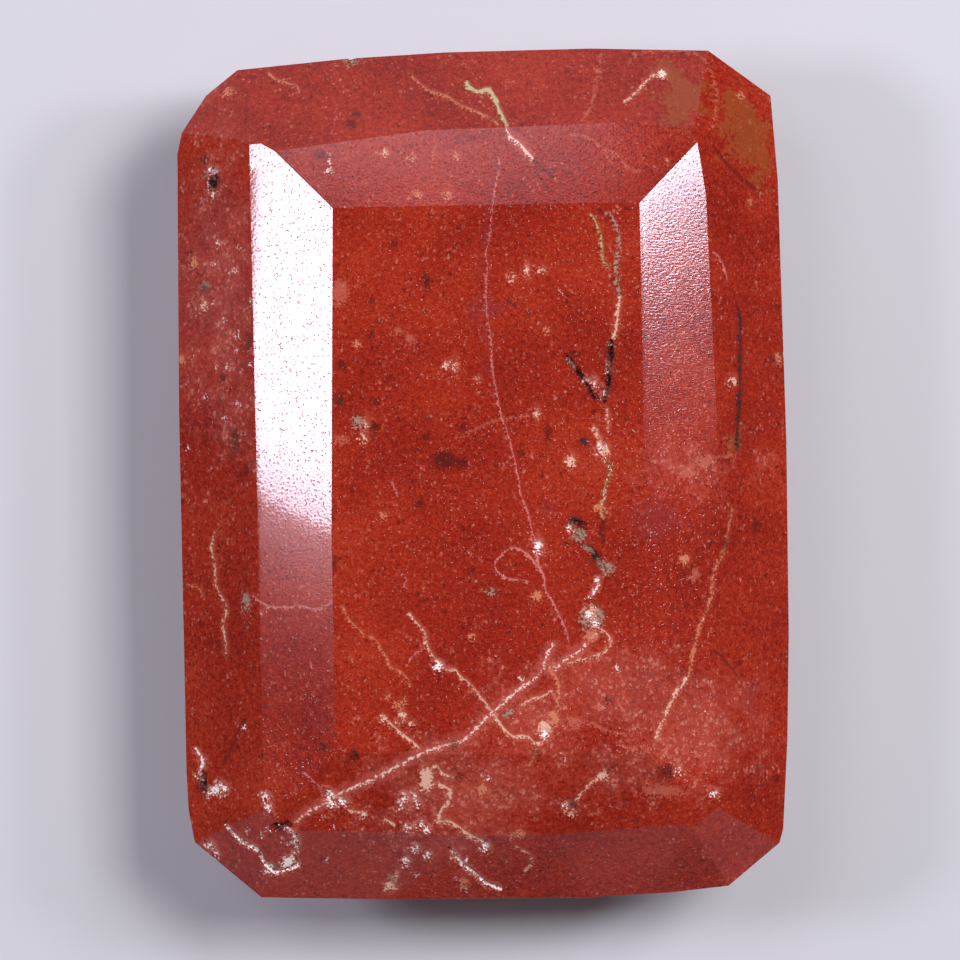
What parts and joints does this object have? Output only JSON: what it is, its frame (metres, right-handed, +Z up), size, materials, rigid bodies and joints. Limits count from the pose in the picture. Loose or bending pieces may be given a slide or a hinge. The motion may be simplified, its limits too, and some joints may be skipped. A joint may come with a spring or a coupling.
{
  "type": "red jasper gemstone",
  "caption": "Large opaque red jasper cut as a long step-cut octagon with a flat table and a flat base, a loose stone for display.",
  "frame": {"origin": "centre of the stone's box, on the plane of its flat base", "axes": "+Y along the length, towards the end that is up in the picture; +X across the width, to the picture's right; +Z up, out of the table"},
  "size_m": [0.0504, 0.0702, 0.02],
  "materials": {
    "polished_red_jasper": "polished"
  },
  "bodies": {
    "root": {"red_jasper_stone": "polished_red_jasper"}
  },
  "joints": []
}
